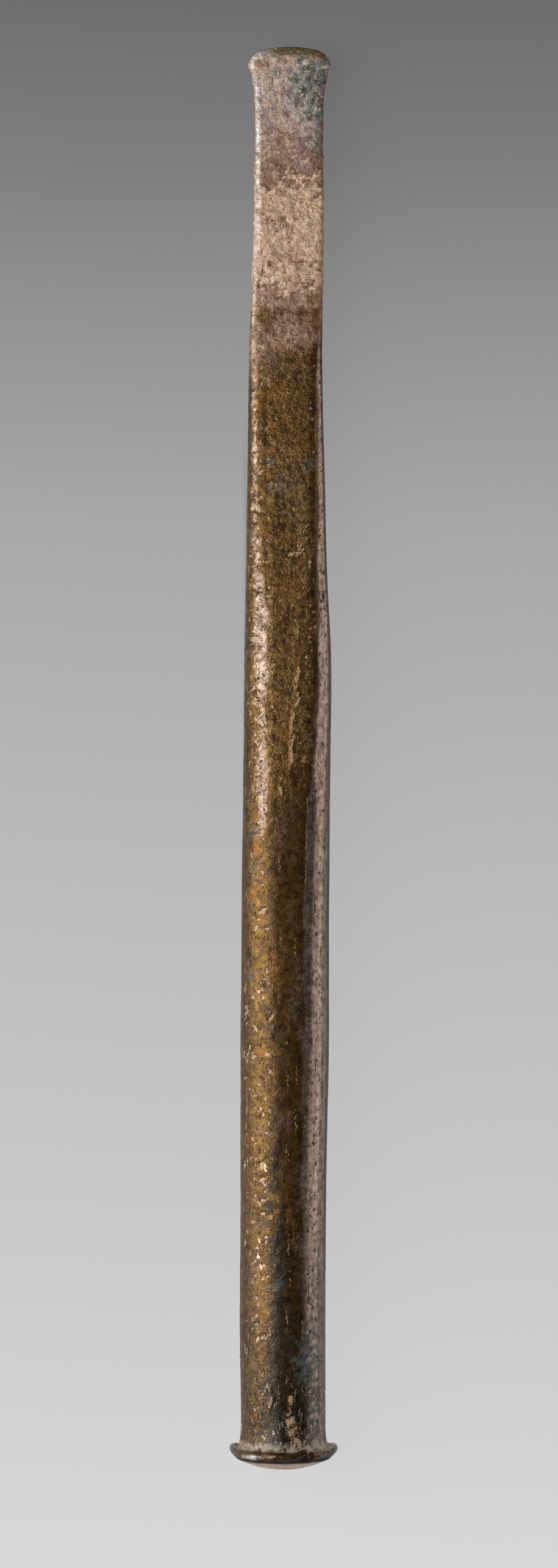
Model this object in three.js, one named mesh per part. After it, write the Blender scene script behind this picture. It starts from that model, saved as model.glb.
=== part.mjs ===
// A bronze mason's chisel, hammered from one bar. A round shaft ends in a struck head that mallet
// blows have domed and spread into a rolled burr. Past the middle the bar is drawn out flatter and
// squarer into a blade, which flares to a curved cutting edge with a ground bevel on each face.
// The chisel lies on its back on the plane z = 0, head towards -Y and cutting edge towards +Y, with
// the origin under the middle of its box. Sizes are in millimetres.
import * as THREE from "three";

// Driving sizes. Everything else is a share of these.
const LENGTH = 250; // crown of the struck face to crown of the cutting edge
const SHAFT_WIDTH = 15.2;
const HEAD_WIDTH = 19.4; // across the burr
const BLADE_WIDTH = 11.8; // at its waist, just before the flare
const EDGE_WIDTH = 14.4; // along the cutting edge, corner to corner

// The struck head.
const DOME_HEIGHT = 2.6; // from the crown to where the dome meets the burr
const FACE_FLAT = 2.4; // radius of the flat that the mallet has worn on the crown
const BURR_RADIUS = 0.75; // the burr is a rolled lip, half round in section
const BURR_LOBE = 0.14; // how unevenly the burr has spread
const NECK_FLARE = 0.7; // how far the shaft swells where it meets the burr
const NECK_REACH = 1.15; // the swelling falls off by e over this length
const NECK_END = 0.035 * LENGTH;

// The cutting edge.
const FLARE_START = 0.944 * LENGTH;
const FLARE_POWER = 2.6;
const BEVEL = 1.2; // length of the ground bevel on each face
const EDGE_ARC = 1.2; // how far the corners lie behind the crown, from the curve of the edge
const CORNER_WEAR = 1.1; // and how much further, from wear that rounds the corners
const CORNER_POWER = 12;

// The bar between head and flare. Distances are shares of LENGTH, and sizes shares of SHAFT_WIDTH:
// front and back are heights over and under the axis, left and right are edge radii, and sway is how
// far the hammered axis wanders to the right.
const STATIONS = [
  { at: 0.035, width: 0.98, front: 0.485, back: 0.485, left: 0.45, right: 0.45, sway: -0.03 },
  { at: 0.1, width: 0.993, front: 0.49, back: 0.488, left: 0.45, right: 0.45, sway: -0.035 },
  { at: 0.2, width: 0.995, front: 0.494, back: 0.49, left: 0.44, right: 0.44, sway: -0.026 },
  { at: 0.3, width: 1.022, front: 0.493, back: 0.493, left: 0.42, right: 0.41, sway: -0.012 },
  { at: 0.4, width: 1.01, front: 0.484, back: 0.494, left: 0.38, right: 0.36, sway: -0.002 },
  { at: 0.5, width: 1.003, front: 0.46, back: 0.49, left: 0.34, right: 0.29, sway: 0.014 },
  { at: 0.575, width: 0.998, front: 0.425, back: 0.481, left: 0.3, right: 0.23, sway: 0.024 },
  { at: 0.62, width: 0.945, front: 0.39, back: 0.456, left: 0.255, right: 0.19, sway: 0.012 },
  { at: 0.68, width: 0.905, front: 0.34, back: 0.403, left: 0.185, right: 0.145, sway: 0.004 },
  { at: 0.75, width: 0.86, front: 0.275, back: 0.325, left: 0.12, right: 0.105, sway: -0.002 },
  { at: 0.81, width: 0.826, front: 0.221, back: 0.259, left: 0.075, right: 0.06, sway: 0.01 },
  { at: 0.86, width: 0.797, front: 0.177, back: 0.206, left: 0.058, right: 0.052, sway: 0.032 },
  { at: 0.94, width: 0.776, front: 0.11, back: 0.126, left: 0.046, right: 0.044, sway: 0.044 },
  { at: 0.995, width: 0.776, front: 0.06, back: 0.066, left: 0.03, right: 0.03, sway: 0.046 },
];

// How finely the skin is divided.
const FACE_STEPS = 10; // across the front, and across the back
const SIDE_STEPS = 6; // down each side
const BAR_STEP = 3.05; // along the bar
const DOME_ROWS = [0.47, 0.68, 0.85, 0.95]; // shares of the dome's radius
const BURR_ANGLES = [-50, -15, 20, 55, 90, 125]; // degrees round the lip, 0 pointing outwards
const NECK_ROWS = [0.05, 0.6, 1.4, 2.5, 3.9]; // past the burr
const FLARE_ROWS = [0, 0.22, 0.42, 0.6, 0.75, 0.88, 0.96]; // shares of the flare's length

// The ground takes this much off whatever touches it, so the chisel has flats to lie on.
const REST_WEAR = 0.15;
const SHAFT_STARTS = 0.1 * LENGTH; // the head is below this distance, and the other support above it

const RIGHT = Math.PI * 0.25;
const TOP = Math.PI * 0.5;
const LEFT = Math.PI * 0.75;

// A smooth curve through one value of every station.
function alongBar(name) {
  const places = STATIONS.map((station) => station.at * LENGTH);
  const sizes = STATIONS.map((station) => station[name] * SHAFT_WIDTH);
  const curve = new THREE.CubicInterpolant(places, sizes, 1, new Float64Array(1));
  return (at) => curve.evaluate(at)[0];
}

const bar = {
  width: alongBar("width"),
  front: alongBar("front"),
  back: alongBar("back"),
  left: alongBar("left"),
  right: alongBar("right"),
  sway: alongBar("sway"),
};

function barRow(at) {
  const flare = Math.max(0, at - FLARE_START) / (LENGTH - BEVEL - FLARE_START);
  const spread = (EDGE_WIDTH - BLADE_WIDTH) * flare ** FLARE_POWER;
  return {
    at,
    width: bar.width(at) + spread,
    front: bar.front(at),
    back: bar.back(at),
    left: bar.left(at),
    right: bar.right(at),
    sway: bar.sway(at),
    lobe: 0,
  };
}

// A round row of the head, centred where the shaft starts.
function roundRow(at, radius, lobe = 0) {
  return {
    at,
    width: 2 * radius,
    front: radius,
    back: radius,
    left: radius,
    right: radius,
    sway: bar.sway(NECK_END),
    lobe,
  };
}

// The struck face is part of a sphere, with its crown worn flat.
function domeRows() {
  const lip = HEAD_WIDTH / 2 - BURR_RADIUS * 0.35;
  const sphere = (lip ** 2 + DOME_HEIGHT ** 2) / (2 * DOME_HEIGHT);
  const depth = (radius) => sphere - Math.sqrt(sphere ** 2 - radius ** 2);
  return [
    roundRow(0, FACE_FLAT),
    ...DOME_ROWS.map((share) => roundRow(depth(share * lip) - depth(FACE_FLAT), share * lip, share * 0.5)),
  ];
}

function burrRows() {
  const centre = HEAD_WIDTH / 2 - BURR_RADIUS;
  const middle = DOME_HEIGHT + BURR_RADIUS * 0.6;
  return BURR_ANGLES.map((degrees) => {
    const angle = THREE.MathUtils.degToRad(degrees);
    return roundRow(middle + BURR_RADIUS * Math.sin(angle), centre + BURR_RADIUS * Math.cos(angle), 1);
  });
}

// The shaft swells into the burr along an exponential fillet.
function neckRows() {
  const start = DOME_HEIGHT + BURR_RADIUS * 1.6;
  const shaft = barRow(NECK_END).width / 2;
  return NECK_ROWS.map((past) => roundRow(start + past, shaft + NECK_FLARE * Math.exp(-past / NECK_REACH)));
}

function barRows() {
  const span = FLARE_START - NECK_END;
  const count = Math.round(span / BAR_STEP);
  return Array.from({ length: count }, (_, i) => barRow(NECK_END + (span * i) / count));
}

function bladeEndRows() {
  const end = LENGTH - BEVEL;
  return [...FLARE_ROWS, 1].map((share) => barRow(FLARE_START + share * (end - FLARE_START)));
}

// The outline of one row, clockwise seen from the head: across the front, down the right side, across
// the back and up the left side. Each stretch runs from the middle of one rounded edge to the next.
function outline(row) {
  const half = row.width / 2;
  const depth = Math.min(row.front, row.back);
  const edge = (radius) => ({ x: Math.min(radius, half), z: Math.min(radius, depth) });
  const left = edge(row.left);
  const right = edge(row.right);
  const arc = (path, side, height, radius, from, to) =>
    path.absellipse(side * (half - radius.x), height, radius.x, radius.z, from, to, true);

  const front = new THREE.Path();
  arc(front, -1, row.front - left.z, left, LEFT, TOP);
  arc(front, 1, row.front - right.z, right, TOP, RIGHT);
  const rightSide = new THREE.Path();
  arc(rightSide, 1, row.front - right.z, right, RIGHT, 0);
  arc(rightSide, 1, right.z - row.back, right, 0, -RIGHT);
  const back = new THREE.Path();
  arc(back, 1, right.z - row.back, right, -RIGHT, -TOP);
  arc(back, -1, left.z - row.back, left, -TOP, -LEFT);
  const leftSide = new THREE.Path();
  arc(leftSide, -1, left.z - row.back, left, -LEFT, -Math.PI);
  arc(leftSide, -1, row.front - left.z, left, Math.PI, LEFT);

  return [
    ...front.getSpacedPoints(FACE_STEPS).slice(0, -1),
    ...rightSide.getSpacedPoints(SIDE_STEPS).slice(0, -1),
    ...back.getSpacedPoints(FACE_STEPS).slice(0, -1),
    ...leftSide.getSpacedPoints(SIDE_STEPS).slice(0, -1),
  ];
}

// How far the curved, worn cutting edge lies behind its crown at x.
function edgeDrop(x) {
  const share = Math.abs(x) / (EDGE_WIDTH / 2);
  return EDGE_ARC * share ** 2 + CORNER_WEAR * share ** CORNER_POWER;
}

function rowPoints(row) {
  const bend = THREE.MathUtils.smoothstep(row.at, FLARE_START, LENGTH - BEVEL);
  return outline(row).map(({ x, y: z }) => {
    const angle = Math.atan2(z, x);
    const spread = 1 + (row.lobe * BURR_LOBE * Math.cos(3 * angle + 0.5)) / (HEAD_WIDTH / 2);
    return new THREE.Vector3(x * spread + row.sway, row.at - bend * edgeDrop(x), z * spread);
  });
}

// The cutting edge is one line: front and back share its points, and each side shrinks to a corner.
function edgeRow(vertices) {
  const first = vertices.length;
  const sway = bar.sway(LENGTH - BEVEL);
  for (let i = 0; i <= FACE_STEPS; i += 1) {
    const x = (i / FACE_STEPS - 0.5) * EDGE_WIDTH;
    vertices.push(new THREE.Vector3(x + sway, LENGTH - edgeDrop(x), 0));
  }
  const across = Array.from({ length: FACE_STEPS }, (_, i) => first + i);
  const rightCorner = new Array(SIDE_STEPS).fill(first + FACE_STEPS);
  const acrossBack = across.map((_, i) => first + FACE_STEPS - i);
  const leftCorner = new Array(SIDE_STEPS).fill(first);
  return [...across, ...rightCorner, ...acrossBack, ...leftCorner];
}

// Skins neighbouring rows of vertex numbers with triangles, leaving out those that have shrunk away.
function skin(rows) {
  const triangles = [];
  const add = (a, b, c) => {
    if (a !== b && b !== c && c !== a) triangles.push(a, b, c);
  };
  for (let k = 0; k + 1 < rows.length; k += 1) {
    const near = rows[k];
    const far = rows[k + 1];
    for (let i = 0; i < near.length; i += 1) {
      const j = (i + 1) % near.length;
      add(near[i], near[j], far[j]);
      add(near[i], far[j], far[i]);
    }
  }
  return triangles;
}

function forgedBar() {
  const rows = [...domeRows(), ...burrRows(), ...neckRows(), ...barRows(), ...bladeEndRows()];
  const vertices = [new THREE.Vector3(bar.sway(NECK_END), 0, 0)];
  const numbered = rows.map((row) => {
    const first = vertices.length;
    vertices.push(...rowPoints(row));
    return Array.from({ length: vertices.length - first }, (_, i) => first + i);
  });
  const crown = new Array(numbered[0].length).fill(0);
  const edge = edgeRow(vertices);
  const geometry = new THREE.BufferGeometry().setFromPoints(vertices);
  geometry.setIndex(skin([crown, ...numbered, edge]));
  return geometry;
}

// Tips the bar so that it lies on the burr and on the root of the blade, and wears both flat.
function layDown(geometry) {
  const place = geometry.getAttribute("position");
  const heights = Array.from({ length: place.count }, (_, i) => [place.getY(i), place.getZ(i)]);
  const burr = heights
    .filter(([y]) => y < SHAFT_STARTS)
    .reduce((lowest, point) => (point[1] < lowest[1] ? point : lowest));
  const slopes = heights
    .filter(([y]) => y > SHAFT_STARTS)
    .map(([y, z]) => (z - burr[1]) / (y - burr[0]));
  geometry.rotateX(-Math.atan(Math.min(...slopes)));

  geometry.computeBoundingBox();
  const { min, max } = geometry.boundingBox;
  geometry.translate(-(min.x + max.x) / 2, -(min.y + max.y) / 2, -min.z - REST_WEAR);
  for (let i = 0; i < place.count; i += 1) place.setZ(i, Math.max(0, place.getZ(i)));
  geometry.computeVertexNormals();
  return geometry;
}

const patinatedBronze = new THREE.MeshStandardMaterial({
  name: "patinated bronze",
  color: 0x6b4f2a,
  metalness: 0.6,
  roughness: 0.45,
});

const chisel = new THREE.Mesh(layDown(forgedBar()), patinatedBronze);
chisel.name = "chisel";

const part = new THREE.Group();
part.add(chisel);

export default part;
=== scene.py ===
import math

import bpy
import numpy as np
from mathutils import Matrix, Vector, noise


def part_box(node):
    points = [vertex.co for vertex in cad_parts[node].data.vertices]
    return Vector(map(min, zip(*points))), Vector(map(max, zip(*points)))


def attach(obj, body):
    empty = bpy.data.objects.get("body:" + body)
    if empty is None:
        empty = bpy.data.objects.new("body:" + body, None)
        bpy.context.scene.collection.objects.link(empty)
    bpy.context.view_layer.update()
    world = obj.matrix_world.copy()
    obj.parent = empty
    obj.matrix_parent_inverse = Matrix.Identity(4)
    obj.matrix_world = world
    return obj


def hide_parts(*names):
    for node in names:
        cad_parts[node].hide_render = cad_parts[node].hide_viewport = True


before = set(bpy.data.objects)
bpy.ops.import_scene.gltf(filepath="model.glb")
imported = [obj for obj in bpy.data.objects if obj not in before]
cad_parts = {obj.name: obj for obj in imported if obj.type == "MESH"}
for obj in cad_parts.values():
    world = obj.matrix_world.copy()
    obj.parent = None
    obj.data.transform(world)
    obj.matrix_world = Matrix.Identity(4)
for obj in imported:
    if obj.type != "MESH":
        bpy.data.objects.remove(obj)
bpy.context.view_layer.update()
low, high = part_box("chisel")
MM = 0.001

# The view. A camera on a copying stand looks straight down on the chisel, which lies on its back
# with the cutting edge away. It stands near enough that both ends are seen a little aslant.
FRAME_WIDTH_PX = 916
FRAME_HEIGHT_PX = 2576
EDGE_ROW_PX = 76.5  # crown of the cutting edge
CROWN_ROW_PX = 2412.5  # crown of the struck face
BURR_COLUMN_PX = 466  # middle of the burr
CAMERA_HEIGHT = 860 * MM
AXIS_HEIGHT = 9.5 * MM  # the struck end's axis over the floor
EDGE_HEIGHT = 5.4 * MM  # the cutting edge over the floor
SENSOR = 36.0  # its long side, along the height of the frame

edge_share = (FRAME_HEIGHT_PX / 2 - EDGE_ROW_PX) * (CAMERA_HEIGHT - EDGE_HEIGHT)
crown_share = (CROWN_ROW_PX - FRAME_HEIGHT_PX / 2) * (CAMERA_HEIGHT - AXIS_HEIGHT)
focal_px = (edge_share + crown_share) / (high.y - low.y)
camera_y = high.y - edge_share / focal_px
camera_x = (FRAME_WIDTH_PX / 2 - BURR_COLUMN_PX) * (CAMERA_HEIGHT - AXIS_HEIGHT) / focal_px
bpy.ops.object.camera_add(location=(camera_x, camera_y, CAMERA_HEIGHT), rotation=(0, 0, 0))
camera = bpy.context.object
camera.name = "camera"
camera.data.sensor_width = SENSOR
camera.data.lens = focal_px * SENSOR / FRAME_HEIGHT_PX
bpy.context.scene.camera = camera
bpy.context.scene.view_settings.view_transform = "Standard"

# The floor. A wide sheet that glows as if lit from behind, though no lamp is there: its glow is painted
# light, graded as a painted falloff from pale grey under the head to darker past the cutting edge. It
# glows more than it is lit, so the chisel casts only a faint shadow of its own.
FLOOR_SIDE = 4000 * MM
SHEET_GLOW = 0.9
UNDER_BAR_SHADOW_GLOW = 0.12  # painted shadow: the sheet's glow is turned down to this where the chisel lies on it
UNDER_BAR_SHADOW = (4.5 * MM, 7.7 * MM)  # the painted shadow is full up to here from the middle, and ends here
SHADOW_FADES_ALONG = (0, 60 * MM)  # between these the painted shadow fades, as the bar rises off the sheet
HEAD_SHADE = (low.y + 5 * MM, low.y + 1 * MM)  # between these the painted shadow ends under the burr
PAPER_DYE = "#383838"
# Painted light falloff: grey levels of the sheet's glow along its length.
PAINTED_GLOW_ROWS = [  # grey level by distance from the middle of the chisel, towards the cutting edge
    (-160 * MM, "#e2e2e2"),
    (-87 * MM, "#cfcfcf"),
    (-22 * MM, "#bebebe"),
    (41 * MM, "#a9a9a9"),
    (105 * MM, "#7b7b7b"),
    (145 * MM, "#606060"),
]


def add(material, kind, inputs=None, **settings):
    """Adds a node, sets its options, and fills or links its sockets."""
    tree = material.node_tree
    new = tree.nodes.new(kind)
    for name, value in settings.items():
        setattr(new, name, value)
    for name, value in (inputs or {}).items():
        if isinstance(value, bpy.types.NodeSocket):
            tree.links.new(value, new.inputs[name])
        else:
            new.inputs[name].default_value = value
    return new


def srgb(code):
    """Turns an sRGB hex colour such as '#8a6a35' into linear light."""
    parts = [int(code[i : i + 2], 16) / 255 for i in (1, 3, 5)]
    return [c / 12.92 if c <= 0.04045 else ((c + 0.055) / 1.055) ** 2.4 for c in parts] + [1.0]


bpy.ops.mesh.primitive_plane_add(size=FLOOR_SIDE, location=(0, 0, 0))
floor = bpy.context.object
floor.name = "floor"
paper = bpy.data.materials.new("sheet with painted glow and painted shadow")
paper.use_nodes = True
paper.node_tree.nodes.clear()
paper_place = add(paper, "ShaderNodeTexCoord").outputs["Object"]
paper_axes = add(paper, "ShaderNodeSeparateXYZ", {"Vector": paper_place}).outputs
paper_start = PAINTED_GLOW_ROWS[0][0]
paper_end = PAINTED_GLOW_ROWS[-1][0]
paper_share = add(
    paper,
    "ShaderNodeMapRange",
    {"Value": paper_axes["Y"], "From Min": paper_start, "From Max": paper_end},
)
painted_glow_grey = add(paper, "ShaderNodeValToRGB", {"Fac": paper_share.outputs["Result"]})
ramp = painted_glow_grey.color_ramp
while len(ramp.elements) < len(PAINTED_GLOW_ROWS):
    ramp.elements.new(0.5)
for stop, (row, grey) in zip(ramp.elements, PAINTED_GLOW_ROWS):
    stop.position = (row - paper_start) / (paper_end - paper_start)
    stop.color = srgb(grey)
paper_aside = add(paper, "ShaderNodeMath", {0: paper_axes["X"]}, operation="ABSOLUTE").outputs[0]
# Painted shadow: the glow is turned down under the bar, and comes back beside it, where it lifts off, and
# past the burr.
out_of_painted_shadow = 0.0
for distance, (shut, clear), fade in (
    (paper_aside, UNDER_BAR_SHADOW, "SMOOTHSTEP"),
    (paper_axes["Y"], SHADOW_FADES_ALONG, "LINEAR"),
    (paper_axes["Y"], HEAD_SHADE, "LINEAR"),
):
    opening = add(
        paper,
        "ShaderNodeMapRange",
        {"Value": distance, "From Min": shut, "From Max": clear},
        interpolation_type=fade,
    ).outputs["Result"]
    out_of_painted_shadow = add(
        paper, "ShaderNodeMath", {0: out_of_painted_shadow, 1: opening}, operation="MAXIMUM"
    ).outputs[0]
strength = add(
    paper, "ShaderNodeMapRange", {"Value": out_of_painted_shadow, "To Min": UNDER_BAR_SHADOW_GLOW, "To Max": SHEET_GLOW}
).outputs["Result"]
glow = add(paper, "ShaderNodeEmission", {"Color": painted_glow_grey.outputs["Color"], "Strength": strength})
matte = add(paper, "ShaderNodeBsdfDiffuse", {"Color": srgb(PAPER_DYE)})
sheet = add(paper, "ShaderNodeAddShader", {0: glow.outputs["Emission"], 1: matte.outputs["BSDF"]})
add(paper, "ShaderNodeOutputMaterial", {"Surface": sheet.outputs["Shader"]})
floor.data.materials.append(paper)

# The light. A tall soft box on the left models the hammer work, and a long low reflector on the right
# draws one bright line down the shaft. The room is dim, so the middle of the bar stays dark.
LAMP_LENGTH = 900 * MM
BOX_PLACE = (-380 * MM, 0, 240 * MM)
BOX_WIDTH = 400 * MM
BOX_WATTS = 4.6
REFLECTOR_LOW = Vector((55 * MM, 0, 1 * MM))  # its two long edges
REFLECTOR_HIGH = Vector((300 * MM, 0, 165 * MM))
REFLECTOR_WATTS = 0.8
REFLECTOR_TINT = (1.0, 0.92, 0.88)
ROOM_WHITE = "#ffffff"
ROOM_STRENGTH = 0.05


def hang_lamp(name, place, target, width, watts):
    """Hangs a long soft lamp beside the chisel, facing the target."""
    bpy.ops.object.light_add(type="AREA", location=place)
    lamp = bpy.context.object
    lamp.name = name
    lamp.rotation_euler = (Vector(target) - Vector(place)).to_track_quat("-Z", "Y").to_euler()
    lamp.data.shape = "RECTANGLE"
    lamp.data.size = width
    lamp.data.size_y = LAMP_LENGTH
    lamp.data.energy = watts
    lamp.visible_camera = False
    return lamp


hang_lamp("left softbox", BOX_PLACE, (0, 0, 0), BOX_WIDTH, BOX_WATTS)
reflector_middle = (REFLECTOR_LOW + REFLECTOR_HIGH) / 2
reflector_slope = REFLECTOR_HIGH - REFLECTOR_LOW
reflector_faces = reflector_middle + Vector((-reflector_slope.z, 0, reflector_slope.x))
reflector = hang_lamp(
    "right reflector", reflector_middle, reflector_faces, reflector_slope.length, REFLECTOR_WATTS
)
reflector.data.color = REFLECTOR_TINT
room = bpy.data.worlds.new("dim room")
room.use_nodes = True
room_light = room.node_tree.nodes["Background"]
room_light.inputs["Color"].default_value = srgb(ROOM_WHITE)
room_light.inputs["Strength"].default_value = ROOM_STRENGTH
bpy.context.scene.world = room

# The chisel. A round bar of cast bronze, hammered out at one end into a blade and battered at the
# other by the mallet. The fine skin starts from the forged bar, divided to about 0.4 mm.
WELD = 0.001 * MM
ANY_PAIR = math.radians(60)  # two triangles folded less than this join to one square
LONG_FACES = (low.y + 8.5 * MM, high.y - 14.2 * MM)  # the bar between its ends, where faces are long
LENGTHWISE = 0.8  # an edge with more than this share of its length along the bar is halved there
SHARP_TURN = math.radians(50)
SHARP_CREASE = 0.9
DIVISIONS = 2

bpy.ops.object.select_all(action="DESELECT")
bar = bpy.data.objects["chisel"]
bar.select_set(True)
bpy.context.view_layer.objects.active = bar
bpy.ops.object.duplicate()
bronze = bpy.context.object
bronze.name = "bronze_chisel"
bpy.ops.mesh.customdata_custom_splitnormals_clear()
bpy.ops.object.mode_set(mode="EDIT")
bpy.ops.mesh.select_mode(type="EDGE")
bpy.ops.mesh.select_all(action="SELECT")
bpy.ops.mesh.remove_doubles(threshold=WELD)
bpy.ops.mesh.tris_convert_to_quads(face_threshold=ANY_PAIR, shape_threshold=math.pi)
bpy.ops.mesh.select_all(action="DESELECT")
bpy.ops.object.mode_set(mode="OBJECT")
for edge in bronze.data.edges:
    a, b = (bronze.data.vertices[i].co for i in edge.vertices)
    along = abs(b.y - a.y) > LENGTHWISE * (b - a).length
    edge.select = along and LONG_FACES[0] < (a.y + b.y) / 2 < LONG_FACES[1]
bpy.ops.object.mode_set(mode="EDIT")
bpy.ops.mesh.subdivide(number_cuts=1)
bpy.ops.mesh.select_all(action="DESELECT")
bpy.ops.mesh.edges_select_sharp(sharpness=SHARP_TURN)
bpy.ops.transform.edge_crease(value=SHARP_CREASE)
bpy.ops.object.mode_set(mode="OBJECT")
divide = bronze.modifiers.new("divide", "SUBSURF")
divide.levels = DIVISIONS
divide.render_levels = DIVISIONS
bpy.ops.object.modifier_apply(modifier=divide.name)
bpy.ops.object.shade_smooth()

# How the bar was hammered. Blows left its skin slightly wavy and its grain coarse, more so on the left
# than on the right, which was planished smooth. From here on lengths are in millimetres, and distances
# along the bar start at the head. A span of four is where a mark starts, is full, begins to fade, ends.
HEAD_AXIS = -0.12  # the bar's axis at the head, right of the middle of the box
SWAY = [(60, 110, 0.62), (110, 143, 0.2), (143, 185, -0.35), (190, 229, 0.65)]  # from, to, how far right
TOP_TURN = (-0.25, 0.15)  # how far up the skin faces at the upper side's border, and inside it
HAMMERED = (5, 9, 240, 246)
PLANISHED_FROM = 3.1  # right of the axis
PLANISHED_GIVES_WAY = (104, 136, 2.3)  # between these its border moves right, by this much
PLANISHED_BORDER = 0.45  # how wide the border is, and how far it wanders
PLANISHED_END = (190, 206)
ROUGH_LEAST = 0.35  # how coarse the grain is all over, and what is added on shoulder and shaft
ROUGH_ADDED = [((110, 126, 182, 198), 0.5), ((30, 45, 84, 94), 0.25)]
PLANISHED_SANDED = 0.93  # what planishing took from the grain, and from the waves
PLANISHED_FLATTENED = 0.6
LONG_WAVE_DEPTH = 0.11
SHORT_WAVE_DEPTH = 0.05
SAND_DEPTH = 0.08
SEED_SHIFT = (17.3, 5.1, 29.7)  # sets each noise apart from the others
FALLOFF = 0.7  # of the finer octaves
LACUNARITY = 2.1

count = len(bronze.data.vertices)


def read(name):
    """The skin's places or directions, a row of three for each of its vertices."""
    flat = np.empty(count * 3)
    bronze.data.vertices.foreach_get(name, flat)
    return flat.reshape(count, 3)


def grain(places, size, seed, octaves=1, stretch=(1, 1, 1)):
    """Smooth noise from about -1 to 1, its grains size mm across."""
    shift = Vector([seed * apart for apart in SEED_SHIFT])
    scaled = places / (size * np.array(stretch))
    if octaves == 1:
        return np.array([noise.noise(Vector(p) + shift) for p in scaled])
    return np.array([noise.fractal(Vector(p) + shift, FALLOFF, LACUNARITY, octaves) for p in scaled])


def ease(value, start, end):
    """0 at start and 1 at end, with a soft start and end."""
    share = np.clip((value - start) / (end - start), 0, 1)
    return share * share * (3 - 2 * share)


def stretch_of(value, start, full, last, end):
    """1 between full and last, easing to 0 at start and end."""
    return ease(value, start, full) * (1 - ease(value, last, end))


def press(along, amount):
    """Moves the skin by amount mm along the directions given, and never under the floor."""
    place = read("co") / MM + along * np.reshape(amount, (-1, 1))
    place[:, 2] = np.maximum(place[:, 2], 0)
    bronze.data.vertices.foreach_set("co", (place * MM).ravel())
    bronze.data.update()


place = read("co") / MM
outward = read("normal")
from_head = place[:, 1] - low.y / MM
off_axis = place[:, 0] - HEAD_AXIS
for start, end, shift in SWAY:
    off_axis = off_axis - shift * ease(from_head, start, end)
round_bar = np.degrees(np.arctan2(outward[:, 0], outward[:, 2]))  # 0 at the top, 90 at the right
top_side = ease(outward[:, 2], *TOP_TURN)
side_noise = grain(place, size=5.0, seed=11, octaves=2, stretch=(1, 2, 1))
give_start, give_end, given = PLANISHED_GIVES_WAY
past_border = off_axis - PLANISHED_FROM - given * ease(from_head, give_start, give_end)
past_border += PLANISHED_BORDER * side_noise
planished = ease(past_border, 0, PLANISHED_BORDER) * top_side * (1 - ease(from_head, *PLANISHED_END))
rough = ROUGH_LEAST + sum(more * stretch_of(from_head, *span) for span, more in ROUGH_ADDED)
rough *= 1 - PLANISHED_SANDED * planished
on_bar = stretch_of(from_head, *HAMMERED)
waves = LONG_WAVE_DEPTH * grain(place, size=9.0, seed=1, stretch=(1, 1.7, 1))
waves += SHORT_WAVE_DEPTH * grain(place, size=3.6, seed=2, stretch=(1, 1.5, 1))
sand = SAND_DEPTH * grain(place, size=1.1, seed=3, octaves=3)
press(outward, on_bar * ((1 - PLANISHED_FLATTENED * planished) * waves + rough * sand))

# Where the round shaft turns into the blade, the smith beat facets along the upper corners: two on the
# left, one after the other, and one on the right. Each is flat across the bar, with crisp borders that
# wander with the blows. The left ones weren't smoothed, so blows that slid off show as slanting ripples.
FACETS = [  # tilt in degrees to the right, how deep it bites at which distance, seed of its border
    {
        "tilt": -21,
        "bites": ((108, 0), (120, 0.12), (130, 0.04), (138, 0.12), (149, 0.2), (156, 0.05), (159, 0)),
        "seed": 20,
    },
    {
        "tilt": -30,
        "bites": ((150, 0), (157, 0.06), (183, 0.06), (205, 0.09), (243, 0.09), (248, 0)),
        "seed": 21,
    },
    {
        "tilt": 44,
        "bites": (
            (112, 0), (130, 0.3), (140, 0.42), (150, 0.34), (165, 0.24), (182, 0.2), (198, 0.12), (212, 0),
        ),
        "seed": 22,
    },
]
FACET_ROWS = 1.5  # rows in a millimetre, each with its own highest point to bite from
LEAST_BITE = 0.02
BITE_WANDERS = 0.6
FACET_BORDER = 0.05
RIPPLE_DEPTH = 0.14
RIPPLED = (110, 118, 186, 198)
SLANT = np.array(((0.5, 0.87, 0), (-0.87, 0.5, 0), (0, 0, 1)))  # turns a pattern 60 degrees

facet_share = np.zeros((len(FACETS), count))
for facet, share in zip(FACETS, facet_share):
    place = read("co") / MM
    tilt = math.radians(facet["tilt"])
    slope = np.array((math.sin(tilt), 0, math.cos(tilt)))
    lean = place @ slope
    rows = np.round(from_head * FACET_ROWS).astype(int)
    highest = np.full(rows.max() + 1, -np.inf)
    np.maximum.at(highest, rows, lean)
    bite = np.interp(from_head, *zip(*facet["bites"]))
    bite *= 1 + BITE_WANDERS * grain(place * (0, 1, 0), size=4.5, seed=facet["seed"], octaves=2)
    over = lean - (highest[rows] - bite)
    share[:] = ease(over, 0, FACET_BORDER) * (bite > LEAST_BITE)
    press(slope, -np.maximum(over, 0) * (bite > 0))
left_facet = np.maximum(facet_share[0], facet_share[1])
place = read("co") / MM
ripples = grain(place @ SLANT, size=0.8, seed=4, octaves=2, stretch=(1, 3.0, 1))
press(outward, RIPPLE_DEPTH * ripples * left_facet * stretch_of(from_head, *RIPPLED))

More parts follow.
